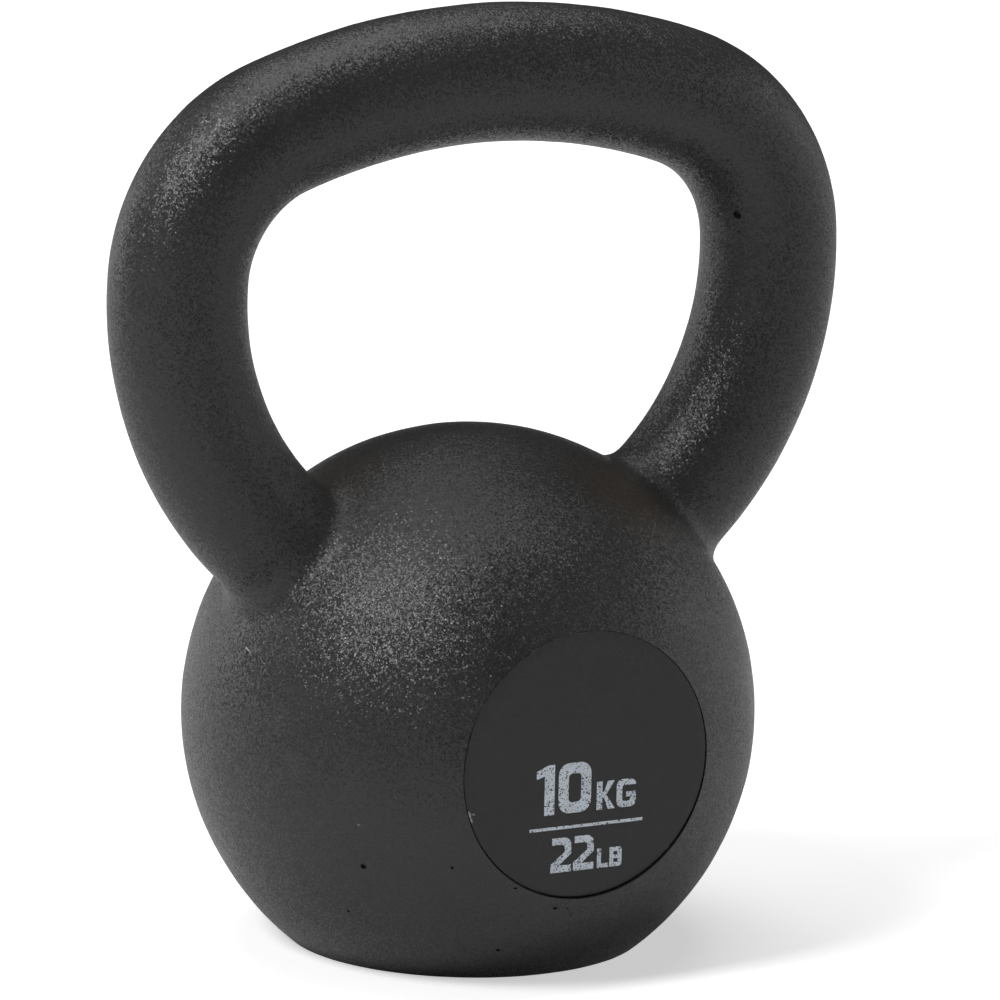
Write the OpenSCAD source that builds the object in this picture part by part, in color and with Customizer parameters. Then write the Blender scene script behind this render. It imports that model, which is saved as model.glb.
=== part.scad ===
// Ten-kilogram kettlebell: a flat-based ball and an arched round handle in one iron casting,
// with a thin printed disc stuck into a shallow round pocket in the front of the ball.
// Millimetres, Z up. The origin is the middle of the flat base, and the disc faces -Y.

/* [Ball] */
// Diameter of the ball at its middle
ball_d = 130.8; // [105:0.1:160]
// Height of the ball's middle above the floor
ball_mid_z = 52.5; // [42:0.1:64]
// How much fuller than a sphere the lower half is, as the shift of its arc past the axis
belly_shift = 2.6; // [0.5:0.1:8]
// Width of the bevel round the edge of the base
base_edge = 1.2; // [0.4:0.1:4]

/* [Handle] */
// Diameter of the handle bar
handle_d = 31; // [22:0.1:38]
// Clear height of the window between the ball's top and the handle
window_h = 67.1; // [50:0.1:85]
// Radius of the bar's centreline over the crown
crown_r = 149.8; // [110:0.1:200]
// Angle from the middle of the crown to each end of its arc
crown_half_angle = 19.7; // [14:0.1:24]
// Radius of the bar's centreline round each upper corner
corner_r = 37.4; // [28:0.1:46]
// Angle that each corner turns through
corner_sweep = 67.4; // [58:0.1:74]
// Straight length of each horn outside the ball before its curve begins
horn_straight = 0.5; // [0.2:0.1:3]
// Radius of the fillet round the root of each horn
root_fillet = 5; // [3:0.1:9]

/* [Front disc] */
// Diameter of the disc
disc_d = 61; // [48:0.1:76]
// Thickness of the disc
disc_t = 1; // [0.6:0.1:2]
// Width of the bevel round the disc's face
disc_edge = 0.2; // [0.1:0.05:0.5]
// Height of the disc's middle above the ball's middle
disc_rise = 0.5; // [-4:0.1:4]
// How far the disc's face stands out past the rim of its pocket
disc_proud = 0.2; // [0.05:0.05:0.6]
// Gap all round between the disc and the wall of its pocket
disc_gap = 0.35; // [0.1:0.05:0.8]
// Thickness of the adhesive film behind the disc
film_t = 0.2; // [0.1:0.05:0.5]
// Border between the edge of the film and the edge of the disc
film_inset = 1; // [0.2:0.1:4]

/* [Print] */
// Thickness of the printed ink
ink_t = 0.1; // [0.05:0.01:0.2]
// Bare border between the print and the edge of the disc
print_margin = 4.35; // [1:0.05:8]
// Height of the kilogram number
kg_number_h = 11.6; // [8:0.1:13]
// Height of the kilogram unit
kg_unit_h = 6.5; // [4:0.1:9]
// Height of the pound number
lb_number_h = 8; // [6:0.1:10]
// Height of the pound unit
lb_unit_h = 4.5; // [3:0.1:7]
// Length of the rule between the two rows
rule_w = 28.6; // [20:0.1:36]
// Thickness of the rule
rule_t = 0.7; // [0.4:0.05:1.5]

/* [Hidden] */
$fn = 96;

// The ball
ball_r = ball_d / 2;
belly_r = ball_r + belly_shift;
base_r = sqrt(pow(belly_r, 2) - pow(ball_mid_z, 2)) - belly_shift;
base_bevel_angle = atan2(base_r + belly_shift, ball_mid_z) / 2;
ball_middle = [0, ball_mid_z];

// The bar thins by a hair at the start of each lower arc, whose end is let into the arc above
bar_step = 0.04;
bar_lap = 1;
handle_r = handle_d / 2;
corner_bar_r = handle_r - bar_step;
horn_r = corner_bar_r - bar_step;

// The centreline of the bar's right half, as points [x, z] and angles turned from straight up.
// Each arc starts where the last one ends, and the horn aims straight at the ball's middle.
crown_top_z = ball_mid_z + ball_r + window_h + handle_r;
crown_center = [0, crown_top_z - crown_r];
corner_start = crown_center + crown_r * facing(crown_half_angle);
corner_center = corner_start - corner_r * facing(crown_half_angle);
side_start_angle = crown_half_angle + corner_sweep;
side_start = corner_center + corner_r * facing(side_start_angle);
side_reach = side_start - ball_middle;
horn_root = ball_r + horn_straight;
side_r = (side_reach * side_reach - pow(horn_root, 2)) / (2 * side_reach * facing(side_start_angle));
side_center = side_start - side_r * facing(side_start_angle);
side_drop = side_center - ball_middle;
horn_lift = acos(side_r / norm(side_drop)) - atan2(side_drop.x, side_drop.y);
side_end_angle = 180 - horn_lift;
horn_angle = 90 - horn_lift;

// The fillet at the horn's root bites a little into the bar and the ball, so that all three join
root_bite = 0.1;
fillet_reach = ball_r + root_fillet - root_bite;
fillet_u = horn_r + root_fillet - root_bite;
fillet_w = sqrt(pow(fillet_reach, 2) - pow(fillet_u, 2));
foot_share = (ball_r - 4 * root_bite) / fillet_reach;

// The disc and its pocket
disc_r = disc_d / 2;
disc_z = ball_mid_z + disc_rise;
pocket_r = disc_r + disc_gap;
disc_face = sqrt(pow(ball_r, 2) - pow(pocket_r, 2)) + disc_proud;
pocket_depth = disc_t + film_t;

// The print, laid out about the disc's middle and then sized to keep its margin
kg_base = -10.75;
kg_start = -12.3;
digit_gap = 1.05;
unit_gap = 1.5;
letter_gap = 0.45;
rule_mid = [0.45, -13.95];
lb_base = -24.3;
lb_start = -8.35;
one_w = 0.392 * kg_number_h;
zero_w = 0.707 * kg_number_h;
k_w = 0.71 * kg_unit_h;
g_w = 0.75 * kg_unit_h;
two_w = 0.645 * lb_number_h;
l_w = 0.633 * lb_unit_h;
b_w = 0.69 * lb_unit_h;
kg_unit_start = kg_start + one_w + digit_gap + zero_w + unit_gap;
pound_digit_gap = 0.55;
lb_unit_start = lb_start + 2 * two_w + pound_digit_gap + 0.9;
pound_letter_gap = 0.3;
kg_number_stroke = 0.215 * kg_number_h;
kg_unit_stroke = 0.215 * kg_unit_h;
lb_number_stroke = 0.2 * lb_number_h;
lb_unit_stroke = 0.22 * lb_unit_h;
print_reach = max(
    norm([lb_start, lb_base]),
    norm([lb_unit_start + l_w + pound_letter_gap + b_w, lb_base]),
    norm([kg_start, kg_base + kg_number_h]),
    norm([kg_unit_start + k_w + letter_gap + g_w, kg_base]),
    norm([rule_w / 2 + abs(rule_mid.x), rule_mid.y - rule_t / 2])
);
print_size = (disc_r - print_margin) / print_reach;

// A unit step [x, z] along an angle turned from straight up towards +X
function facing(angle) = [sin(angle), cos(angle)];

// Points round a quarter turn about a corner's centre
function quarter(center, r, from) =
    [for (step = [0:6]) center + r * [cos(from + 15 * step), sin(from + 15 * step)]];

// A rectangle with rounded corners, its lower left corner at a point
module rounded_box(corner, w, h, r) {
    translate(corner)
        polygon(concat(
            quarter([w - r, h - r], r, 0),
            quarter([r, h - r], r, 90),
            quarter([r, r], r, 180),
            quarter([w - r, r], r, 270)
        ));
}

// The profile of the ball from its axis outwards
module ball_profile() {
    bevel_rise = ball_r * tan(base_bevel_angle);
    intersection() {
        translate([0, ball_mid_z])
            circle(r = ball_r);
        translate([0, ball_mid_z])
            square([ball_r, ball_r]);
    }
    intersection() {
        translate([-belly_shift, ball_mid_z])
            circle(r = belly_r);
        polygon([
            [0, 0],
            [base_r - base_edge, 0],
            [base_r - base_edge + ball_r, bevel_rise],
            [base_r - base_edge + ball_r, ball_mid_z],
            [0, ball_mid_z],
        ]);
    }
}

// A round bar bent along an arc of the handle's plane, between two angles from straight up
module bent_bar(center, bend_r, bar_r, from, to) {
    translate([center.x, 0, center.y])
        rotate([90, 0, 0])
            rotate([0, 0, 90 - to])
                rotate_extrude(angle = to - from)
                    translate([bend_r, 0])
                        circle(r = bar_r);
}

// The angle at a bend's centre that spans the lap between two arcs
function lap_angle(bend_r) = bar_lap / bend_r * 180 / PI;

// The flared foot of one horn, turned about the line from the ball's middle along the horn
module horn_foot() {
    translate([0, 0, ball_mid_z])
        rotate([0, horn_angle, 0])
            rotate_extrude()
                difference() {
                    polygon([
                        [0, foot_share * fillet_w],
                        [foot_share * fillet_u, foot_share * fillet_w],
                        [fillet_u, fillet_w],
                        [0, fillet_w],
                    ]);
                    translate([fillet_u, fillet_w])
                        circle(r = root_fillet);
                }
}

// Half of the handle: corner, side and horn on the +X side
module half_handle() {
    corner_from = crown_half_angle - lap_angle(corner_r);
    side_from = side_start_angle - lap_angle(side_r);
    bent_bar(corner_center, corner_r, corner_bar_r, corner_from, side_start_angle);
    bent_bar(side_center, side_r, horn_r, side_from, side_end_angle);
    horn_foot();
}

// Puts a flat drawing on the disc's face, with its depth out of the face
module on_disc() {
    translate([0, -disc_face, disc_z])
        rotate([90, 0, 0])
            children();
}

// Raises a drawing as a film of ink at the print's size
module inked() {
    color("lightsteelblue")
        on_disc()
            scale(print_size)
                linear_extrude(ink_t / print_size)
                    children();
}

module digit_one(w, h, stroke) {
    flag_drop = 0.22 * h;
    polygon([
        [w - stroke, 0],
        [w, 0],
        [w, h],
        [w - 0.65 * stroke, h],
        [0, h - flag_drop / 2],
        [0, h - 1.2 * flag_drop],
        [w - stroke, h - 0.95 * flag_drop],
    ]);
}

module digit_zero(w, h, stroke) {
    outer_r = 0.33 * w;
    difference() {
        rounded_box([0, 0], w, h, outer_r);
        rounded_box([stroke, stroke], w - 2 * stroke, h - 2 * stroke, outer_r / 3);
    }
}

module digit_two(w, h, stroke) {
    outer_r = 0.36 * w;
    inner_r = outer_r / 2;
    shoulder = 0.58 * h;
    hook_x = 0.06 * w;
    polygon(concat(
        [[0, 0], [w, 0], [w, stroke], [1.25 * stroke, stroke], [w, shoulder - 0.3 * stroke]],
        quarter([w - outer_r, h - outer_r], outer_r, 0),
        [[hook_x, h], [hook_x, h - stroke]],
        [for (i = [6:-1:0]) quarter([w - stroke - inner_r, h - stroke - inner_r], inner_r, 0)[i]],
        [[w - stroke, shoulder], [0, 1.2 * stroke]]
    ));
}

module letter_k(w, h, stroke) {
    polygon([
        [0, 0],
        [stroke, 0],
        [stroke, 0.4 * h],
        [1.35 * stroke, 0.4 * h],
        [w - 1.25 * stroke, 0],
        [w, 0],
        [w - 1.6 * stroke, 0.52 * h],
        [w - 0.1 * stroke, h],
        [w - 1.3 * stroke, h],
        [1.35 * stroke, 0.62 * h],
        [stroke, 0.62 * h],
        [stroke, h],
        [0, h],
    ]);
}

module letter_g(w, h, stroke) {
    outer_r = 0.3 * w;
    tongue_top = 0.54 * h;
    difference() {
        rounded_box([0, 0], w, h, outer_r);
        rounded_box([stroke, stroke], w - 2 * stroke, h - 2 * stroke, outer_r / 3);
        translate([w - 1.5 * stroke, tongue_top])
            square([2 * stroke, h - stroke - tongue_top]);
    }
    translate([0.5 * w, tongue_top - 0.8 * stroke])
        square([0.5 * w, 0.8 * stroke]);
}

module letter_l(w, h, stroke) {
    polygon([[0, 0], [w, 0], [w, stroke], [stroke, stroke], [stroke, h], [0, h]]);
}

module letter_b(w, h, stroke) {
    waist = 0.8 * stroke;
    bowl_w = w - 2 * stroke;
    bowl_h = (h - 2 * stroke - waist) / 2;
    difference() {
        union() {
            rounded_box([0, 0], w, h, 0.25 * w);
            square([w / 2, h]);
        }
        translate([stroke, stroke])
            square([bowl_w, bowl_h]);
        translate([stroke, stroke + bowl_h + waist])
            square([0.92 * bowl_w, bowl_h]);
    }
}

// Ball, horns and handle bar: one iron casting, with the pocket for the disc
module casting() {
    pocket_run = ball_r - disc_face + 2 * pocket_depth;
    color("dimgray")
        difference() {
            union() {
                rotate_extrude()
                    ball_profile();
                bent_bar(crown_center, crown_r, handle_r, -crown_half_angle, crown_half_angle);
                half_handle();
                mirror([1, 0, 0])
                    half_handle();
            }
            on_disc()
                translate([0, 0, -pocket_depth])
                    cylinder(r = pocket_r, h = pocket_run);
        }
}

// Thin round disc that carries the print
module front_disc() {
    color("darkslategray")
        on_disc()
            rotate_extrude()
                polygon([
                    [0, -disc_t],
                    [disc_r, -disc_t],
                    [disc_r, -disc_edge],
                    [disc_r - disc_edge, 0],
                    [0, 0],
                ]);
}

// Adhesive film between the floor of the pocket and the back of the disc
module disc_adhesive() {
    color("ivory")
        on_disc()
            translate([0, 0, -pocket_depth])
                cylinder(r = disc_r - film_inset, h = film_t);
}

// The kilogram number
module print_10() {
    inked()
        translate([kg_start, kg_base]) {
            digit_one(one_w, kg_number_h, kg_number_stroke);
            translate([one_w + digit_gap, 0])
                digit_zero(zero_w, kg_number_h, kg_number_stroke);
        }
}

// The kilogram unit
module print_kg() {
    inked()
        translate([kg_unit_start, kg_base]) {
            letter_k(k_w, kg_unit_h, kg_unit_stroke);
            translate([k_w + letter_gap, 0])
                letter_g(g_w, kg_unit_h, kg_unit_stroke);
        }
}

// The rule between the two rows
module print_rule() {
    inked()
        translate(rule_mid)
            square([rule_w, rule_t], center = true);
}

// The pound number
module print_22() {
    inked()
        translate([lb_start, lb_base])
            for (place = [0, 1])
                translate([place * (two_w + pound_digit_gap), 0])
                    digit_two(two_w, lb_number_h, lb_number_stroke);
}

// The pound unit
module print_lb() {
    inked()
        translate([lb_unit_start, lb_base]) {
            letter_l(l_w, lb_unit_h, lb_unit_stroke);
            translate([l_w + pound_letter_gap, 0])
                letter_b(b_w, lb_unit_h, lb_unit_stroke);
        }
}

casting();
front_disc();
disc_adhesive();
print_10();
print_kg();
print_rule();
print_22();
print_lb();
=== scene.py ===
import math

import bpy
from bpy.props import FloatProperty, FloatVectorProperty, IntProperty, PointerProperty
from bpy.types import Operator, Panel, PropertyGroup
from mathutils import Matrix, Vector


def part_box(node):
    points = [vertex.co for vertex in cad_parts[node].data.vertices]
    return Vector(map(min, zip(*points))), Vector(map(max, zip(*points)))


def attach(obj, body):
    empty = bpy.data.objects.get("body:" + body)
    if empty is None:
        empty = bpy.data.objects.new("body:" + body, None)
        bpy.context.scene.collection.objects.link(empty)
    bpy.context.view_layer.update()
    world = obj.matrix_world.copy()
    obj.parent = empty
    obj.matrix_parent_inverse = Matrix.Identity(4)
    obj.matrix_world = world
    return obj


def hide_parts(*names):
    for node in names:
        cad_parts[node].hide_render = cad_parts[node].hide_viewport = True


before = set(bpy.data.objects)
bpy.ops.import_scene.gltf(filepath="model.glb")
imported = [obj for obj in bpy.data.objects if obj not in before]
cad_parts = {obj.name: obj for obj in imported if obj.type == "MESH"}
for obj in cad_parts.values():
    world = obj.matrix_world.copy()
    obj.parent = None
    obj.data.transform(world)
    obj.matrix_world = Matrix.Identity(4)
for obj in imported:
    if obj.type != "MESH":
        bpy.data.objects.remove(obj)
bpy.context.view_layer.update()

bl_info = {
    "name": "Cast Kettlebell",
    "version": (1, 0, 0),
    "blender": (4, 5, 0),
    "location": "View3D > Sidebar > Kettlebell",
    "description": "Models a powder-coated cast kettlebell with a printed disc in its front",
    "category": "Add Mesh",
}

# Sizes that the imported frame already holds, in metres, Z up, with the disc facing -Y
CASTING_LOW, CASTING_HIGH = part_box("casting")
DISC_LOW, DISC_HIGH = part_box("front_disc")
FILM_LOW, FILM_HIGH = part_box("disc_adhesive")
MM = 0.001


# --- Sizes and colours that a user would change -------------------------------------------------


class CastingSizes(PropertyGroup):
    """Sizes of the ball, the handle bar and their blend."""

    ball_radius: FloatProperty(
        name="Ball Radius",
        description="Radius of the round upper half of the ball",
        default=CASTING_HIGH.y,
        unit="LENGTH",
    )
    middle_height: FloatProperty(
        name="Middle Height",
        description="Height of the ball's middle above the floor",
        default=52.5 * MM,
        unit="LENGTH",
    )
    belly_shift: FloatProperty(
        name="Belly Shift",
        description="How far the arc of the fuller lower half is centred past the axis",
        default=2.6 * MM,
        unit="LENGTH",
    )
    base_trim: FloatProperty(
        name="Base Trim",
        description="Height that is left under the base, and ground off flat at the end",
        default=1.5 * MM,
        unit="LENGTH",
    )
    bar_radius: FloatProperty(
        name="Bar Radius",
        description="Radius of the handle bar",
        default=15.5 * MM,
        unit="LENGTH",
    )
    crown_radius: FloatProperty(
        name="Crown Radius",
        description="Radius of the bar's centreline over the crown",
        default=149.8 * MM,
        unit="LENGTH",
    )
    crown_half_angle: FloatProperty(
        name="Crown Half Angle",
        description="Angle from the middle of the crown to each end of its arc",
        default=math.radians(19.7),
        unit="ROTATION",
    )
    corner_radius: FloatProperty(
        name="Corner Radius",
        description="Radius of the bar's centreline round each upper corner",
        default=37.4 * MM,
        unit="LENGTH",
    )
    corner_sweep: FloatProperty(
        name="Corner Sweep",
        description="Angle that each upper corner turns through",
        default=math.radians(67.4),
        unit="ROTATION",
    )
    horn_straight: FloatProperty(
        name="Horn Straight",
        description="Straight length of each horn outside the ball before its curve begins",
        default=0.5 * MM,
        unit="LENGTH",
    )
    root_fillet: FloatProperty(
        name="Root Fillet",
        description="Radius of the fillet round the root of each horn",
        default=6.5 * MM,
        unit="LENGTH",
    )
    mesh_step: FloatProperty(
        name="Mesh Step",
        description="Size of the faces that the joined casting is remeshed to",
        default=1.13 * MM,
        unit="LENGTH",
    )
    skin: FloatProperty(
        name="Skin",
        description="How far the surface is moved out after smoothing, which draws it in a little",
        default=0.3 * MM,
        unit="LENGTH",
    )
    cast_wave: FloatProperty(
        name="Cast Waviness",
        description="Height of the slow unevenness that the sand mould leaves",
        default=0.3 * MM,
        unit="LENGTH",
    )


class DiscSizes(PropertyGroup):
    """Sizes of the disc and the pocket it sits in."""

    gap: FloatProperty(
        name="Seam Gap",
        description="Gap all round between the disc and the wall of its pocket",
        default=0.35 * MM,
        unit="LENGTH",
    )
    fullness: FloatProperty(
        name="Coat Fullness",
        description="How much the coat on the disc's edge narrows the seam",
        default=0.12 * MM,
        unit="LENGTH",
    )
    lift: FloatProperty(
        name="Lift",
        description="How far above the middle of its pocket the disc sits",
        default=0.14 * MM,
        unit="LENGTH",
    )
    edge_round: FloatProperty(
        name="Edge Rounding",
        description="Width of the rounding at the edge of the disc's face",
        default=0.2 * MM,
        unit="LENGTH",
    )
    rim_steps: IntProperty(
        name="Rim Steps",
        description="How many faces run round the edge of the disc",
        default=192,
        min=48,
    )


class FinishColours(PropertyGroup):
    """Colours of the coat, the disc and the ink."""

    coat: FloatVectorProperty(
        name="Powder Coat",
        description="Colour of the matte black powder coat",
        subtype="COLOR",
        default=(0.021, 0.021, 0.021),
        min=0,
        max=1,
    )
    disc: FloatVectorProperty(
        name="Disc",
        description="Colour of the disc",
        subtype="COLOR",
        default=(0.0175, 0.0175, 0.0175),
        min=0,
        max=1,
    )
    ink: FloatVectorProperty(
        name="Ink",
        description="Colour of the printed marks",
        subtype="COLOR",
        default=(0.66, 0.72, 0.79),
        min=0,
        max=1,
    )
    film: FloatVectorProperty(
        name="Adhesive Film",
        description="Colour of the film behind the disc",
        subtype="COLOR",
        default=(0.6, 0.57, 0.5),
        min=0,
        max=1,
    )


class StageSettings(PropertyGroup):
    """Where the camera stands and how it frames the object."""

    azimuth: FloatProperty(
        name="Azimuth",
        description="Angle that the camera stands round from straight in front",
        default=math.radians(-27.594),
        unit="ROTATION",
    )
    elevation: FloatProperty(
        name="Elevation",
        description="Angle that the camera looks down at",
        default=math.radians(13.195),
        unit="ROTATION",
    )
    roll: FloatProperty(
        name="Roll",
        description="Tilt of the camera about its own line of sight",
        default=math.radians(1.229),
        unit="ROTATION",
    )
    distance: FloatProperty(
        name="Distance",
        description="Distance from the camera to the point it aims at",
        default=2.3165,
        unit="LENGTH",
    )
    lens: FloatProperty(
        name="Lens",
        description="Focal length of the camera in millimetres",
        default=365.83,
        unit="CAMERA",
    )
    aim_height: FloatProperty(
        name="Aim Height",
        description="Height of the point that the camera aims at",
        default=101.54 * MM,
        unit="LENGTH",
    )
    aim_side: FloatProperty(
        name="Aim Side",
        description="How far the aim lies to the right of the object's axis",
        default=6.34 * MM,
        unit="LENGTH",
    )


class KettlebellSettings(PropertyGroup):
    """Everything that the kettlebell's operators read."""

    casting: PointerProperty(type=CastingSizes)
    disc: PointerProperty(type=DiscSizes)
    colours: PointerProperty(type=FinishColours)
    stage: PointerProperty(type=StageSettings)


# --- Small tools for modelling ------------------------------------------------------------------


def clear_selection():
    """Leaves edit mode and deselects every object."""
    if bpy.context.mode != "OBJECT":
        bpy.ops.object.mode_set(mode="OBJECT")
    bpy.ops.object.select_all(action="DESELECT")


def pick(piece):
    """Makes one object the only selected one, and the active one."""
    clear_selection()
    piece.select_set(True)
    bpy.context.view_layer.objects.active = piece
    return piece


def settle(piece, name):
    """Moves an object's place into its mesh and names both."""
    pick(piece)
    bpy.ops.object.transform_apply(location=True, rotation=True, scale=True)
    piece.name = name
    piece.data.name = name
    return piece


def edit_mode():
    """Enters edit mode with nothing selected."""
    bpy.ops.object.mode_set(mode="EDIT")
    bpy.ops.mesh.select_all(action="DESELECT")


def select_where(piece, element, test):
    """In edit mode, selects only the vertices, edges or faces whose middle passes a test."""
    bpy.ops.mesh.select_mode(type={"vertices": "VERT", "edges": "EDGE", "polygons": "FACE"}[element])
    bpy.ops.mesh.select_all(action="DESELECT")
    bpy.ops.object.mode_set(mode="OBJECT")
    mesh = piece.data
    for item in getattr(mesh, element):
        if element == "vertices":
            middle = item.co
        elif element == "edges":
            ends = [mesh.vertices[index].co for index in item.vertices]
            middle = (ends[0] + ends[1]) / 2
        else:
            middle = item.center
        item.select = test(middle)
    bpy.ops.object.mode_set(mode="EDIT")


def cut(place, facing_out, whole=True, **settings):
    """In edit mode, cuts the whole mesh along a plane, or only what is selected."""
    if whole:
        bpy.ops.mesh.select_all(action="SELECT")
    bpy.ops.mesh.bisect(plane_co=place, plane_no=facing_out, threshold=0.001 * MM, **settings)


def close_up():
    """In edit mode, merges what meets and points every face outwards."""
    bpy.ops.mesh.select_all(action="SELECT")
    bpy.ops.mesh.remove_doubles(threshold=0.002 * MM)
    bpy.ops.mesh.normals_make_consistent(inside=False)


def apply_modifier(piece, kind, **settings):
    """Adds one modifier, sets it and applies it."""
    modifier = piece.modifiers.new(kind.title(), kind)
    for key, value in settings.items():
        setattr(modifier, key, value)
    pick(piece)
    bpy.ops.object.modifier_apply(modifier=modifier.name)


def facing(angle):
    """A unit step in the handle's plane, turned from straight up towards +X."""
    return Vector((math.sin(angle), 0, math.cos(angle)))


# --- The casting --------------------------------------------------------------------------------

# Where the mould left small faults: a place on the surface in millimetres, and a radius
SAND_PITS = (
    ((61.8, -9.8, 165.1), 1.05),
    ((-46.4, -40.5, 30.1), 0.75),
    ((-30.9, -53.8, 31.6), 0.5),
    ((-45.7, -32.0, 17.6), 0.45),
    ((-15.6, -47.3, 9.2), 0.6),
    ((-6.5, -57.0, 20.3), 0.5),
    ((-3.4, -57.0, 20.0), 0.35),
    ((-17.0, -57.7, 26.3), 0.4),
    ((48.0, 36.0, 31.0), 0.5),
    ((-22.0, 60.5, 61.0), 0.45),
)
SAND_NUBS = (
    ((-62.3, -9.0, 162.9), 0.6),
    ((40.9, -4.6, 179.8), 0.65),
)


class HandleLine:
    """The centreline of the handle's right half: arcs that meet smoothly, and a horn aimed at the ball."""

    def __init__(self, sizes):
        self.middle = Vector((0, 0, sizes.middle_height))
        crown_top = CASTING_HIGH.z - sizes.bar_radius
        self.crown_angle = sizes.crown_half_angle
        self.crown_centre = Vector((0, 0, crown_top - sizes.crown_radius))
        corner_start = self.crown_centre + sizes.crown_radius * facing(self.crown_angle)
        self.corner_centre = corner_start - sizes.corner_radius * facing(self.crown_angle)
        self.side_start_angle = self.crown_angle + sizes.corner_sweep
        side_start = self.corner_centre + sizes.corner_radius * facing(self.side_start_angle)
        reach = side_start - self.middle
        root = sizes.ball_radius + sizes.horn_straight
        lean = 2 * reach.dot(facing(self.side_start_angle))
        self.side_radius = (reach.length_squared - root**2) / lean
        self.side_centre = side_start - self.side_radius * facing(self.side_start_angle)
        drop = self.side_centre - self.middle
        lift = math.acos(self.side_radius / drop.length) - math.atan2(drop.x, drop.z)
        self.side_end_angle = math.pi - lift
        self.horn_direction = facing(math.pi / 2 - lift)
        self.horn_turn = math.pi / 2 - lift
        self.horn_root = self.middle + root * self.horn_direction


def model_ball(sizes):
    """The ball: a round top and a fuller lower half, spun about the axis and cut flat underneath."""
    middle = Vector((0, 0, sizes.middle_height))
    upright = (math.pi / 2, 0, 0)
    clear_selection()
    bpy.ops.mesh.primitive_circle_add(
        vertices=256, radius=sizes.ball_radius, location=middle, rotation=upright
    )
    ball = settle(bpy.context.active_object, "ball")
    bpy.ops.object.mode_set(mode="EDIT")
    cut(middle, (0, 0, 1), clear_inner=True)
    bpy.ops.mesh.select_all(action="DESELECT")
    bpy.ops.mesh.primitive_circle_add(
        vertices=256,
        radius=sizes.ball_radius + sizes.belly_shift,
        location=middle - Vector((sizes.belly_shift, 0, 0)),
        rotation=upright,
    )
    cut(middle, (0, 0, 1), whole=False, clear_outer=True)
    cut((0, 0, -sizes.base_trim), (0, 0, 1), clear_inner=True)
    cut((0, 0, 0), (1, 0, 0), clear_inner=True)
    bpy.ops.mesh.select_all(action="SELECT")
    bpy.ops.mesh.remove_doubles(threshold=0.01 * MM)
    # The underside runs from the belly's foot in to the axis
    select_where(ball, "vertices", lambda place: place.z < 0.01 * MM - sizes.base_trim)
    bpy.ops.object.mode_set(mode="OBJECT")
    foot = max(vertex.co.x for vertex in ball.data.vertices if vertex.select)
    bpy.ops.object.mode_set(mode="EDIT")
    bpy.ops.mesh.extrude_vertices_move(TRANSFORM_OT_translate={"value": (-foot, 0, 0)})
    bpy.ops.mesh.select_all(action="SELECT")
    bpy.ops.mesh.spin(steps=256, angle=2 * math.pi, center=(0, 0, 0), axis=(0, 0, 1))
    close_up()
    bpy.ops.object.mode_set(mode="OBJECT")
    return ball


def model_handle(sizes, line):
    """The handle bar: one ring carried up the right horn, over the crown and down the left horn."""
    buried = 0.5 * sizes.ball_radius
    start = line.middle + (sizes.ball_radius - buried) * line.horn_direction
    rise = line.horn_root - start
    clear_selection()
    bpy.ops.mesh.primitive_circle_add(
        vertices=96,
        radius=sizes.bar_radius,
        location=start,
        rotation=(0, line.horn_turn, 0),
        fill_type="NGON",
    )
    handle = settle(bpy.context.active_object, "handle")
    bpy.ops.object.mode_set(mode="EDIT")
    bpy.ops.mesh.select_all(action="SELECT")
    bpy.ops.mesh.extrude_region_move(TRANSFORM_OT_translate={"value": rise})
    side_sweep = line.side_end_angle - line.side_start_angle
    bends = [
        (line.side_centre, side_sweep),
        (line.corner_centre, sizes.corner_sweep),
        (line.crown_centre, 2 * line.crown_angle),
        (line.corner_centre * Vector((-1, 1, 1)), sizes.corner_sweep),
        (line.side_centre * Vector((-1, 1, 1)), side_sweep),
    ]
    for centre, sweep in bends:
        bpy.ops.mesh.spin(steps=40, angle=sweep, center=centre, axis=(0, 1, 0))
    bpy.ops.mesh.extrude_region_move(
        TRANSFORM_OT_translate={"value": rise * Vector((1, 1, -1))}
    )
    close_up()
    bpy.ops.object.mode_set(mode="OBJECT")
    return handle


def model_horn_feet(sizes, line):
    """The flared feet that blend both horns into the ball, each a fillet spun about its horn."""
    reach = sizes.ball_radius + sizes.root_fillet
    beside = sizes.bar_radius + sizes.root_fillet
    along = math.sqrt(reach**2 - beside**2)
    out = line.horn_direction
    across = Vector((out.z, 0, -out.x))
    fillet_centre = line.middle + along * out + beside * across
    to_ball = (fillet_centre - line.middle).normalized()
    clear_selection()
    bpy.ops.mesh.primitive_circle_add(
        vertices=96, radius=sizes.root_fillet, location=fillet_centre, rotation=(math.pi / 2, 0, 0)
    )
    feet = settle(bpy.context.active_object, "horn_feet")
    bpy.ops.object.mode_set(mode="EDIT")
    cut(fillet_centre, out, clear_outer=True)
    bpy.ops.mesh.select_all(action="SELECT")
    side = to_ball.cross(Vector((0, 1, 0)))
    inward = side if side.dot(across) < 0 else -side
    cut(fillet_centre, inward, clear_inner=True)
    # Both ends of the fillet's arc run in to the horn's own axis, which closes the foot
    for offset in (0, -1):
        bpy.ops.object.mode_set(mode="OBJECT")
        spots = sorted(feet.data.vertices, key=lambda vertex: (vertex.co - line.middle).dot(out))
        end = spots[offset].co.copy()
        bpy.ops.object.mode_set(mode="EDIT")
        select_where(feet, "vertices", lambda place: (place - end).length < 0.001 * MM)
        reach_in = -(end - line.middle).dot(across) * across
        bpy.ops.mesh.extrude_vertices_move(TRANSFORM_OT_translate={"value": reach_in})
    bpy.ops.mesh.select_all(action="SELECT")
    bpy.ops.mesh.spin(steps=128, angle=2 * math.pi, center=line.middle, axis=out)
    close_up()
    bpy.ops.object.mode_set(mode="OBJECT")
    apply_modifier(feet, "MIRROR", use_axis=(True, False, False))
    return feet


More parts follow.
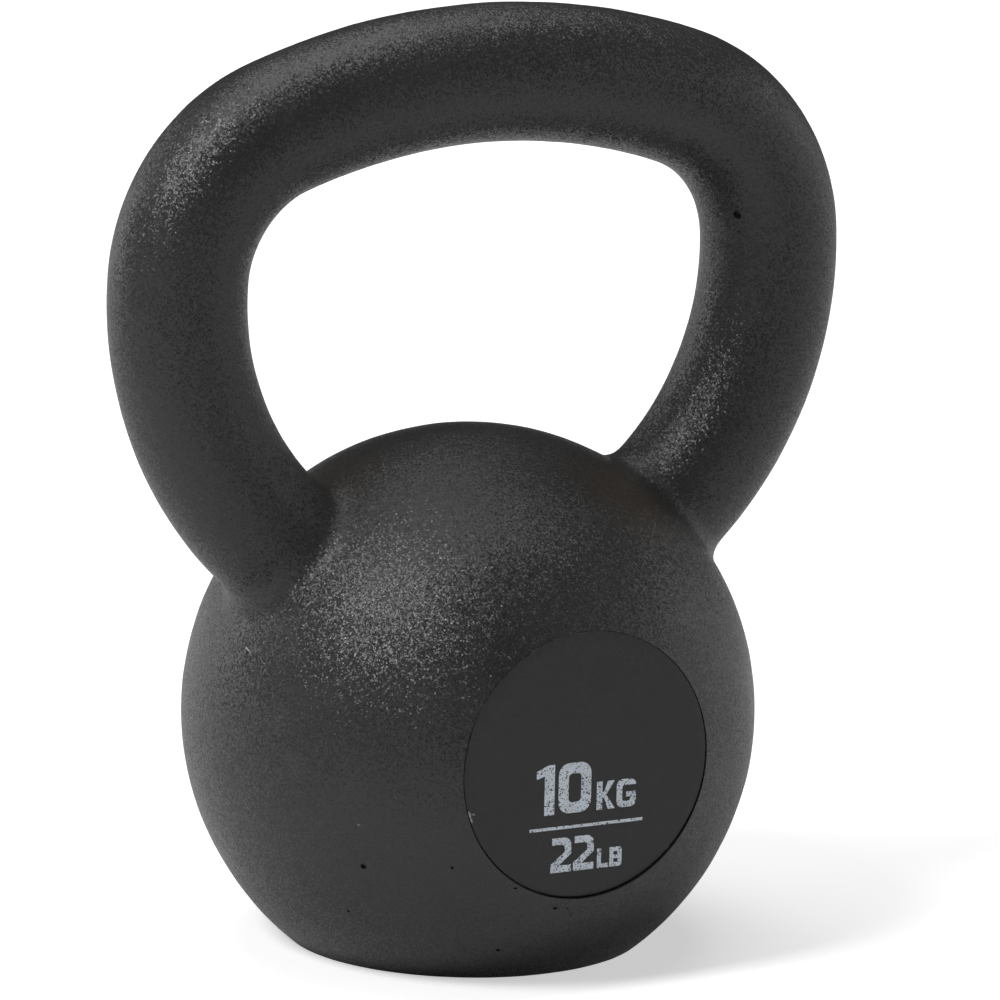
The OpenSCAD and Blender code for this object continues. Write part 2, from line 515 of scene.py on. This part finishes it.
def model_grains(places, name):
    """Small faceted lumps of sand at the given places, joined into one object."""
    grains = []
    for place, size in places:
        clear_selection()
        bpy.ops.mesh.primitive_ico_sphere_add(
            subdivisions=2, radius=size * MM, location=Vector(place) * MM
        )
        bpy.ops.object.mode_set(mode="EDIT")
        bpy.ops.transform.resize(value=(1.25, 0.9, 1.05))
        bpy.ops.object.mode_set(mode="OBJECT")
        grains.append(bpy.context.active_object)
    pick(grains[0])
    for grain in grains:
        grain.select_set(True)
    bpy.ops.object.join()
    return settle(grains[0], name)


def mark_faults(casting):
    """Sinks the sand pits into the casting and raises the nubs on it."""
    for places, operation in ((SAND_PITS, "DIFFERENCE"), (SAND_NUBS, "UNION")):
        grains = model_grains(places, "sand_grains")
        apply_modifier(casting, "BOOLEAN", operation=operation, object=grains, solver="EXACT")
        bpy.data.objects.remove(grains)


def cut_pocket(casting, disc):
    """Cuts the round pocket for the disc, down to the adhesive film."""
    middle = (DISC_LOW + DISC_HIGH) / 2
    radius = (DISC_HIGH.x - DISC_LOW.x) / 2 + disc.gap
    floor_y = FILM_HIGH.y
    run = floor_y - CASTING_LOW.y + radius
    clear_selection()
    bpy.ops.mesh.primitive_cylinder_add(
        vertices=2 * disc.rim_steps,
        radius=radius,
        depth=run,
        location=(middle.x, floor_y - run / 2, middle.z),
        rotation=(math.pi / 2, 0, 0),
    )
    cutter = settle(bpy.context.active_object, "pocket_cutter")
    apply_modifier(casting, "BOOLEAN", operation="DIFFERENCE", object=cutter, solver="EXACT")
    bpy.data.objects.remove(cutter)


def roughen(casting, height, size, depth=2):
    """Raises and sinks the casting's surface a little, as a sand mould does."""
    waves = bpy.data.textures.new("sand_waves", "CLOUDS")
    waves.noise_scale = size
    waves.noise_depth = depth
    apply_modifier(casting, "DISPLACE", texture=waves, strength=height, mid_level=0.5)


def grind_base(casting):
    """Grinds the underside off flat on the floor."""
    pick(casting)
    bpy.ops.object.mode_set(mode="EDIT")
    cut((0, 0, 0), (0, 0, 1), use_fill=True, clear_inner=True)
    close_up()
    bpy.ops.object.mode_set(mode="OBJECT")


def model_casting(sizes, disc):
    """Joins ball, handle and feet into one cast piece, and cuts the pocket."""
    line = HandleLine(sizes)
    ball = model_ball(sizes)
    handle = model_handle(sizes, line)
    feet = model_horn_feet(sizes, line)
    pick(ball)
    handle.select_set(True)
    feet.select_set(True)
    bpy.ops.object.join()
    casting = settle(ball, "cast_body")
    apply_modifier(casting, "REMESH", mode="VOXEL", voxel_size=sizes.mesh_step, use_smooth_shade=True)
    apply_modifier(casting, "SMOOTH", factor=0.5, iterations=6)
    apply_modifier(casting, "DISPLACE", strength=sizes.skin, mid_level=0)
    roughen(casting, sizes.cast_wave, 22 * MM)
    roughen(casting, sizes.cast_wave / 4, 5 * MM)
    grind_base(casting)
    cut_pocket(casting, disc)
    mark_faults(casting)
    pick(casting)
    bpy.ops.object.shade_smooth_by_angle(angle=math.radians(40))
    return casting


# --- The disc -----------------------------------------------------------------------------------


def model_disc(disc):
    """The thin disc: a round face drawn out to its thickness, with a rounded edge and inset rings."""
    middle = (DISC_LOW + DISC_HIGH) / 2 + Vector((0, 0, disc.lift))
    radius = (DISC_HIGH.x - DISC_LOW.x) / 2 + disc.fullness
    thickness = DISC_HIGH.y - DISC_LOW.y
    clear_selection()
    bpy.ops.mesh.primitive_circle_add(
        vertices=disc.rim_steps,
        radius=radius,
        fill_type="NGON",
        location=(middle.x, DISC_HIGH.y, middle.z),
        rotation=(math.pi / 2, 0, 0),
    )
    plate = settle(bpy.context.active_object, "weight_disc")
    bpy.ops.object.mode_set(mode="EDIT")
    bpy.ops.mesh.select_all(action="SELECT")
    bpy.ops.mesh.extrude_region_move(TRANSFORM_OT_translate={"value": (0, -thickness, 0)})
    close_up()
    face_y = DISC_LOW.y

    def on_rim(place):
        near_face = abs(place.y - face_y) < 0.01 * MM
        return near_face and math.hypot(place.x - middle.x, place.z - middle.z) > 0.9 * radius

    select_where(plate, "edges", on_rim)
    bpy.ops.mesh.bevel(offset=disc.edge_round, segments=3, affect="EDGES")
    select_where(plate, "polygons", lambda place: abs(place.y - face_y) < 0.001 * MM)
    for ring in range(12):
        bpy.ops.mesh.inset(thickness=radius / 13)
    bpy.ops.mesh.poke()
    bpy.ops.object.mode_set(mode="OBJECT")
    pick(plate)
    bpy.ops.object.shade_smooth_by_angle(angle=math.radians(50))
    return plate


# --- Finishes -----------------------------------------------------------------------------------


class Finish:
    """A new material with its shader, and short calls that add and join nodes."""

    def __init__(self, name, roughness, colour):
        self.material = bpy.data.materials.new(name)
        self.material.use_nodes = True
        self.material.diffuse_color = (*colour, 1)
        self.nodes = self.material.node_tree.nodes
        self.links = self.material.node_tree.links
        self.shader = self.nodes["Principled BSDF"]
        self.shader.inputs["Roughness"].default_value = roughness
        self.shader.inputs["Base Color"].default_value = (*colour, 1)
        self.place = self.nodes.new("ShaderNodeTexCoord").outputs["Object"]

    def join(self, source, target):
        self.links.new(source, target)

    def noise(self, size, detail=2.0, roughness=0.5):
        """Soft noise whose patches are about size metres across."""
        node = self.nodes.new("ShaderNodeTexNoise")
        node.inputs["Scale"].default_value = 1 / size
        node.inputs["Detail"].default_value = detail
        node.inputs["Roughness"].default_value = roughness
        self.join(self.place, node.inputs["Vector"])
        return node.outputs["Fac"]

    def beads(self, size, smooth=0.3):
        """Distance to the middle of the nearest bead, for beads about size metres across."""
        node = self.nodes.new("ShaderNodeTexVoronoi")
        node.feature = "SMOOTH_F1"
        node.inputs["Scale"].default_value = 1 / size
        node.inputs["Smoothness"].default_value = smooth
        self.join(self.place, node.inputs["Vector"])
        return node

    def glint(self, normal, size, tilt):
        """Tips the normal of each hard grain its own way, so that a few of them catch the light."""
        cells = self.nodes.new("ShaderNodeTexVoronoi")
        cells.inputs["Scale"].default_value = 1 / size
        self.join(self.place, cells.inputs["Vector"])
        centred = self.nodes.new("ShaderNodeVectorMath")
        centred.operation = "SUBTRACT"
        centred.inputs[1].default_value = (0.5, 0.5, 0.5)
        self.join(cells.outputs["Color"], centred.inputs[0])
        scaled = self.nodes.new("ShaderNodeVectorMath")
        scaled.operation = "SCALE"
        scaled.inputs["Scale"].default_value = tilt
        self.join(centred.outputs["Vector"], scaled.inputs[0])
        added = self.nodes.new("ShaderNodeVectorMath")
        added.operation = "ADD"
        self.join(normal, added.inputs[0])
        self.join(scaled.outputs["Vector"], added.inputs[1])
        unit = self.nodes.new("ShaderNodeVectorMath")
        unit.operation = "NORMALIZE"
        self.join(added.outputs["Vector"], unit.inputs[0])
        return unit.outputs["Vector"]

    def away(self, middle):
        """Distance in metres from a place given in millimetres."""
        node = self.nodes.new("ShaderNodeVectorMath")
        node.operation = "DISTANCE"
        node.inputs[1].default_value = Vector(middle) * MM
        self.join(self.place, node.inputs[0])
        return node.outputs["Value"]

    def along(self, start, end):
        """Distance in metres from the straight line between two places given in millimetres."""
        first = Vector(start) * MM
        run = Vector(end) * MM - first
        offset = self.nodes.new("ShaderNodeVectorMath")
        offset.operation = "SUBTRACT"
        offset.inputs[1].default_value = first
        self.join(self.place, offset.inputs[0])
        share = self.nodes.new("ShaderNodeVectorMath")
        share.operation = "DOT_PRODUCT"
        share.inputs[1].default_value = run / run.length_squared
        self.join(offset.outputs["Vector"], share.inputs[0])
        nearest = self.nodes.new("ShaderNodeVectorMath")
        nearest.operation = "SCALE"
        nearest.inputs[0].default_value = run
        self.join(self.spread(share.outputs["Value"], 0, 1), nearest.inputs["Scale"])
        gap = self.nodes.new("ShaderNodeVectorMath")
        gap.operation = "DISTANCE"
        self.join(offset.outputs["Vector"], gap.inputs[0])
        self.join(nearest.outputs["Vector"], gap.inputs[1])
        return gap.outputs["Value"]

    def spread(self, value, low, high, to_low=0.0, to_high=1.0):
        """Maps a value's range from low to high onto another range, and stops at its ends."""
        node = self.nodes.new("ShaderNodeMapRange")
        node.inputs["From Min"].default_value = low
        node.inputs["From Max"].default_value = high
        node.inputs["To Min"].default_value = to_low
        node.inputs["To Max"].default_value = to_high
        self.join(value, node.inputs["Value"])
        return node.outputs["Result"]

    def math(self, kind, first, second):
        node = self.nodes.new("ShaderNodeMath")
        node.operation = kind
        for socket, value in zip(node.inputs, (first, second)):
            if isinstance(value, (int, float)):
                socket.default_value = value
            else:
                self.join(value, socket)
        return node.outputs["Value"]

    def mix(self, share, first, second):
        """One colour where share is 0 and another where it is 1."""
        node = self.nodes.new("ShaderNodeMix")
        node.data_type = "RGBA"
        self.join(share, node.inputs["Factor"])
        for socket, value in ((node.inputs["A"], first), (node.inputs["B"], second)):
            if isinstance(value, tuple):
                socket.default_value = (*value, 1)
            else:
                self.join(value, socket)
        return node.outputs["Result"]

    def bump(self, height, distance, strength=1.0, over=None):
        """A bump of the given depth in metres, over an earlier one."""
        node = self.nodes.new("ShaderNodeBump")
        node.inputs["Distance"].default_value = distance
        node.inputs["Strength"].default_value = strength
        self.join(height, node.inputs["Height"])
        if over is not None:
            self.join(over, node.inputs["Normal"])
        return node.outputs["Normal"]


# Marks on the coat: two ends in millimetres, a half width, and how they show from -1 dark to 1 pale
COAT_MARKS = (
    ((-61.1, -9.0, 74.6), (-60.5, -13.5, 72.9), 0.22, 0.9),
    ((-60.5, -13.5, 72.9), (-60.1, -16.6, 72.6), 0.18, 0.7),
    ((-60.6, -12.4, 75.2), (-60.4, -15.2, 74.4), 0.15, 0.5),
    ((-48.8, -41.9, 40.4), (-48.5, -42.2, 40.3), 0.22, 1.0),
    ((-43.2, -48.9, 47.8), (-43.0, -49.1, 47.8), 0.18, 0.8),
    ((-27.4, -48.7, 17.8), (-22.4, -51.2, 17.9), 0.14, -0.5),
    ((-7.0, -57.2, 20.6), (-0.1, -57.2, 19.8), 0.3, -0.6),
    ((-18.0, -57.5, 26.5), (-15.2, -58.1, 26.3), 0.3, -0.6),
    ((52.0, 30.0, 78.0), (55.5, 24.5, 75.0), 0.2, 0.6),
    ((-30.0, 52.0, 78.0), (-23.0, 55.5, 79.5), 0.16, 0.5),
)
# Rubbed or dusty places: a middle in millimetres, a radius, and how much paler the coat is there
COAT_SMUDGES = (
    ((-60.0, -24.3, 61.4), 5.0, 0.3),
    ((-58.1, -30.0, 52.1), 4.0, 0.25),
    ((29.9, -50.2, 81.9), 5.5, 0.45),
    ((12.0, 60.0, 70.0), 9.0, 0.25),
    ((56.0, 20.0, 40.0), 8.0, 0.25),
)
# Brownish cast where the coat is thin round the horn roots
THIN_PLACES = (
    ((-34.6, 3.5, 107.9), 17.0),
    ((26.4, -26.7, 106.0), 20.0),
    ((34.0, 14.0, 107.0), 17.0),
)


def powder_coat(colour):
    """Matte black powder coat: fine hard grain over slow waves, with dust, rubs and thin places."""
    finish = Finish("powder_coat", 0.38, tuple(colour))
    grain = finish.noise(0.34 * MM, detail=2, roughness=0.6)
    beads = finish.beads(0.42 * MM)
    waves = finish.noise(5 * MM, detail=3)
    bed = finish.bump(waves, 0.12 * MM, 0.5)
    coarse = finish.bump(beads.outputs["Distance"], 0.06 * MM, 0.6, over=bed)
    rough = finish.bump(grain, 0.07 * MM, 0.7, over=coarse)
    finish.join(finish.glint(rough, 0.36 * MM, 0.46), finish.shader.inputs["Normal"])
    cloud = finish.noise(26 * MM, detail=4, roughness=0.6)
    dusty = tuple(1.3 * channel for channel in colour)
    tone = finish.mix(finish.spread(cloud, 0.38, 0.68), tuple(colour), dusty)
    fine = finish.spread(grain, 0.35, 0.65)
    tone = finish.mix(finish.math("MULTIPLY", fine, 0.35), tone, tuple(0.55 * c for c in colour))
    brown = (1.6 * colour[0], 1.2 * colour[1], 0.9 * colour[2])
    for middle, radius in THIN_PLACES:
        near = finish.spread(finish.away(middle), radius * MM, 0.25 * radius * MM, 0, 0.9)
        tone = finish.mix(near, tone, brown)
    for middle, radius, share in COAT_SMUDGES:
        near = finish.spread(finish.away(middle), radius * MM, 0.2 * radius * MM, 0, share)
        tone = finish.mix(finish.math("MULTIPLY", near, fine), tone, (0.09, 0.088, 0.085))
    for start, end, width, shade in COAT_MARKS:
        near = finish.along(start, end)
        mark = finish.spread(near, 1.4 * width * MM, 0.5 * width * MM, 0, abs(shade))
        tone = finish.mix(mark, tone, (0.38, 0.38, 0.37) if shade > 0 else (0.006, 0.006, 0.006))
    finish.join(tone, finish.shader.inputs["Base Color"])
    flecks = finish.noise(0.3 * MM, detail=1)
    sheen = finish.math("MULTIPLY", finish.spread(flecks, 0.56, 0.66), -0.16)
    dull = finish.spread(cloud, 0.3, 0.7, 0.36, 0.43)
    finish.join(finish.math("ADD", dull, sheen), finish.shader.inputs["Roughness"])
    return finish.material


# Chips through the disc's coat at its edge: two ends in millimetres, and a half width
DISC_CHIPS = (
    ((-29.2, -57.9, 44.9), (-28.4, -57.9, 42.6), 0.32),
    ((-28.6, -57.9, 44.6), (-27.6, -57.9, 44.2), 0.22),
    ((21.2, -57.9, 31.2), (21.7, -57.9, 31.7), 0.2),
)


def disc_lacquer(colour):
    """The disc's own smoother coat, with a fine even grain and a chip on its edge."""
    finish = Finish("disc_lacquer", 0.5, tuple(colour))
    grain = finish.noise(0.4 * MM, detail=2)
    bed = finish.bump(finish.noise(2.5 * MM, detail=3), 0.15 * MM, 0.6)
    rough = finish.bump(grain, 0.09 * MM, 0.9, over=bed)
    finish.join(finish.glint(rough, 0.5 * MM, 0.12), finish.shader.inputs["Normal"])
    cloud = finish.noise(14 * MM, detail=3)
    paler = tuple(1.2 * channel for channel in colour)
    tone = finish.mix(finish.spread(cloud, 0.35, 0.7), tuple(colour), paler)
    for start, end, width in DISC_CHIPS:
        ragged = finish.math("ADD", finish.along(start, end), finish.spread(grain, 0.3, 0.7, 0, 0.3 * MM))
        chip = finish.spread(ragged, 1.4 * width * MM, 0.6 * width * MM)
        tone = finish.mix(chip, tone, (0.42, 0.41, 0.38))
    finish.join(tone, finish.shader.inputs["Base Color"])
    finish.join(finish.spread(cloud, 0.3, 0.7, 0.46, 0.56), finish.shader.inputs["Roughness"])
    return finish.material


def print_ink(colour, under):
    """Screen-printed ink that misses the low spots of the grain under it."""
    finish = Finish("print_ink", 0.6, tuple(colour))
    grain = finish.noise(0.38 * MM, detail=1, roughness=0.6)
    tint = finish.noise(3 * MM, detail=2)
    paler = tuple(min(1, 1.15 * channel) for channel in colour)
    ink = finish.mix(finish.spread(tint, 0.35, 0.65), tuple(colour), paler)
    missed = finish.spread(grain, 0.43, 0.34)
    finish.join(finish.mix(missed, ink, tuple(under)), finish.shader.inputs["Base Color"])
    finish.join(finish.bump(grain, 0.05 * MM, 0.6), finish.shader.inputs["Normal"])
    finish.join(finish.spread(grain, 0.3, 0.7, 0.68, 0.52), finish.shader.inputs["Roughness"])
    return finish.material


def adhesive_film(colour):
    """Pale rubbery adhesive with small trapped bubbles."""
    finish = Finish("adhesive_film", 0.5, tuple(colour))
    bubbles = finish.beads(2.5 * MM)
    duller = tuple(0.75 * channel for channel in colour)
    share = finish.spread(bubbles.outputs["Distance"], 0.1, 0.4)
    finish.join(finish.mix(share, duller, tuple(colour)), finish.shader.inputs["Base Color"])
    finish.join(
        finish.bump(bubbles.outputs["Distance"], 0.1 * MM, 0.5), finish.shader.inputs["Normal"]
    )
    return finish.material


def dress(piece, material):
    """Gives every face of an object one material."""
    piece.data.materials.clear()
    piece.data.materials.append(material)


# --- Stage --------------------------------------------------------------------------------------


def seen_share(nodes, links, mirrored):
    """A socket that is 1 to the eye, a dimmer share in gloss and glass, and 0 to plain light."""
    path = nodes.new("ShaderNodeLightPath")
    through = nodes.new("ShaderNodeMath")
    through.operation = "MAXIMUM"
    links.new(path.outputs["Is Glossy Ray"], through.inputs[0])
    links.new(path.outputs["Is Transmission Ray"], through.inputs[1])
    dimmed = nodes.new("ShaderNodeMath")
    dimmed.operation = "MULTIPLY_ADD"
    dimmed.inputs[1].default_value = mirrored
    links.new(through.outputs["Value"], dimmed.inputs[0])
    links.new(path.outputs["Is Camera Ray"], dimmed.inputs[2])
    return dimmed.outputs["Value"]


def white_floor(near_white, far_white, mirrored):
    """A pale floor that is white to the eye and keeps the object's shadow."""
    material = bpy.data.materials.new("studio_floor")
    material.use_nodes = True
    nodes = material.node_tree.nodes
    links = material.node_tree.links
    shader = nodes["Principled BSDF"]
    shader.inputs["Roughness"].default_value = 0.9
    shader.inputs["Specular IOR Level"].default_value = 0
    shader.inputs["Base Color"].default_value = (0.8, 0.8, 0.8, 1)
    shader.inputs["Emission Color"].default_value = (1, 1, 1, 1)
    place = nodes.new("ShaderNodeTexCoord")
    reach = nodes.new("ShaderNodeVectorMath")
    reach.operation = "LENGTH"
    links.new(place.outputs["Object"], reach.inputs[0])
    whiter = nodes.new("ShaderNodeMapRange")
    whiter.inputs["From Min"].default_value = 0.3
    whiter.inputs["From Max"].default_value = 1.4
    whiter.inputs["To Min"].default_value = near_white
    whiter.inputs["To Max"].default_value = far_white
    links.new(reach.outputs["Value"], whiter.inputs["Value"])
    strength = nodes.new("ShaderNodeMath")
    strength.operation = "MULTIPLY"
    links.new(whiter.outputs["Result"], strength.inputs[0])
    links.new(seen_share(nodes, links, mirrored), strength.inputs[1])
    links.new(strength.outputs["Value"], shader.inputs["Emission Strength"])
    return material


def white_surround(ambient, mirrored):
    """White all round to the eye, and a faint plain light otherwise."""
    world = bpy.data.worlds.new("studio_surround")
    world.use_nodes = True
    nodes = world.node_tree.nodes
    links = world.node_tree.links
    strength = nodes.new("ShaderNodeMath")
    strength.operation = "MAXIMUM"
    strength.inputs[0].default_value = ambient
    links.new(seen_share(nodes, links, mirrored), strength.inputs[1])
    background = nodes["Background"]
    background.inputs["Color"].default_value = (1, 1, 1, 1)
    links.new(strength.outputs["Value"], background.inputs["Strength"])
    return world


# Soft lamps: steps right, up and back from the object in metres, then width and power in watts
LAMPS = {
    "key_lamp": (-1.0, 1.2, 1.1, 0.6, 24),
    "left_rear_lamp": (-1.6, 0.5, -1.0, 1.2, 8),
    "right_rear_lamp": (1.6, 0.5, -1.0, 1.2, 4),
    "right_lamp": (1.8, 0.4, 0.3, 1.2, 4.4),
    "top_lamp": (0.0, 2.0, 0.0, 1.6, 21),
}


def hang_lamp(name, place, size, power, aim):
    """A square soft lamp at a place, turned to its aim."""
    data = bpy.data.lights.new(name, "AREA")
    data.shape = "SQUARE"
    data.size = size
    data.energy = power
    lamp = bpy.data.objects.new(name, data)
    bpy.context.scene.collection.objects.link(lamp)
    turn = (aim - place).to_track_quat("-Z", "Y").to_matrix().to_4x4()
    lamp.matrix_world = Matrix.Translation(place) @ turn
    return lamp


def view_axes(stage):
    """The camera's right, up and back directions."""
    back = Vector(
        (
            math.sin(stage.azimuth) * math.cos(stage.elevation),
            -math.cos(stage.azimuth) * math.cos(stage.elevation),
            math.sin(stage.elevation),
        )
    )
    level = Vector((math.cos(stage.azimuth), math.sin(stage.azimuth), 0))
    rise = back.cross(level)
    right = level * math.cos(stage.roll) + rise * math.sin(stage.roll)
    up = rise * math.cos(stage.roll) - level * math.sin(stage.roll)
    return level, right, up, back


def set_camera(stage):
    """Stands a long-lens camera at the chosen angle."""
    level, right, up, back = view_axes(stage)
    aim = level * stage.aim_side + Vector((0, 0, stage.aim_height))
    data = bpy.data.cameras.new("camera")
    data.sensor_width = 36
    data.lens = stage.lens
    data.clip_end = 100
    camera = bpy.data.objects.new("camera", data)
    bpy.context.scene.collection.objects.link(camera)
    turn = Matrix((right, up, back)).transposed().to_4x4()
    camera.matrix_world = Matrix.Translation(aim + stage.distance * back) @ turn
    bpy.context.scene.camera = camera


# --- Operators ----------------------------------------------------------------------------------


class KETTLEBELL_OT_casting(Operator):
    """Models the one-piece casting of ball, horns and handle"""

    bl_idname = "kettlebell.casting"
    bl_label = "Casting"

    def execute(self, context):
        settings = context.scene.kettlebell
        casting = model_casting(settings.casting, settings.disc)
        dress(casting, powder_coat(settings.colours.coat))
        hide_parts("casting")
        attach(casting, "root")
        return {"FINISHED"}


class KETTLEBELL_OT_disc(Operator):
    """Models the thin round disc in the front pocket"""

    bl_idname = "kettlebell.disc"
    bl_label = "Front Disc"

    def execute(self, context):
        settings = context.scene.kettlebell
        plate = model_disc(settings.disc)
        dress(plate, disc_lacquer(settings.colours.disc))
        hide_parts("front_disc")
        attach(plate, "root")
        return {"FINISHED"}


class KETTLEBELL_OT_print(Operator):
    """Gives the printed marks and the adhesive film their finishes"""

    bl_idname = "kettlebell.print"
    bl_label = "Print and Film"

    def execute(self, context):
        colours = context.scene.kettlebell.colours
        ink = print_ink(colours.ink, colours.disc)
        for name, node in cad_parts.items():
            if name.startswith("print_"):
                dress(node, ink)
        dress(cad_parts["disc_adhesive"], adhesive_film(colours.film))
        return {"FINISHED"}


class KETTLEBELL_OT_stage(Operator):
    """Sets up the floor, the lamps, the surround and the camera"""

    bl_idname = "kettlebell.stage"
    bl_label = "Stage"

    def execute(self, context):
        scene = context.scene
        clear_selection()
        bpy.ops.mesh.primitive_plane_add(size=14, location=(0, 0, 0))
        floor = settle(bpy.context.active_object, "studio_floor")
        dress(floor, white_floor(0.53, 0.9, 0.1))
        scene.world = white_surround(0.02, 0.06)
        aim = Vector((0, 0, 0.1))
        stage = scene.kettlebell.stage
        level, right, up, back = view_axes(stage)
        for name, (across, above, behind, size, power) in LAMPS.items():
            place = aim + across * right + above * up + behind * back
            hang_lamp(name, place, size, power, aim)
        scene.view_settings.view_transform = "Standard"
        set_camera(stage)
        return {"FINISHED"}


class KETTLEBELL_PT_panel(Panel):
    """Lists the kettlebell's pieces, sizes and colours"""

    bl_idname = "KETTLEBELL_PT_panel"
    bl_label = "Kettlebell"
    bl_space_type = "VIEW_3D"
    bl_region_type = "UI"
    bl_category = "Kettlebell"

    def draw(self, context):
        settings = context.scene.kettlebell
        for operator in OPERATORS:
            self.layout.operator(operator.bl_idname)
        for group in (settings.casting, settings.disc, settings.colours, settings.stage):
            box = self.layout.box()
            for name in group.bl_rna.properties.keys():
                if name not in {"rna_type", "name"}:
                    box.prop(group, name)


OPERATORS = (
    KETTLEBELL_OT_casting,
    KETTLEBELL_OT_disc,
    KETTLEBELL_OT_print,
    KETTLEBELL_OT_stage,
)
CLASSES = (
    CastingSizes,
    DiscSizes,
    FinishColours,
    StageSettings,
    KettlebellSettings,
    *OPERATORS,
    KETTLEBELL_PT_panel,
)


def register():
    for item in CLASSES:
        bpy.utils.register_class(item)
    bpy.types.Scene.kettlebell = PointerProperty(type=KettlebellSettings)


def unregister():
    del bpy.types.Scene.kettlebell
    for item in reversed(CLASSES):
        bpy.utils.unregister_class(item)


def main():
    register()
    bpy.ops.kettlebell.casting()
    bpy.ops.kettlebell.disc()
    bpy.ops.kettlebell.print()
    bpy.ops.kettlebell.stage()


if __name__ == "__main__":
    main()
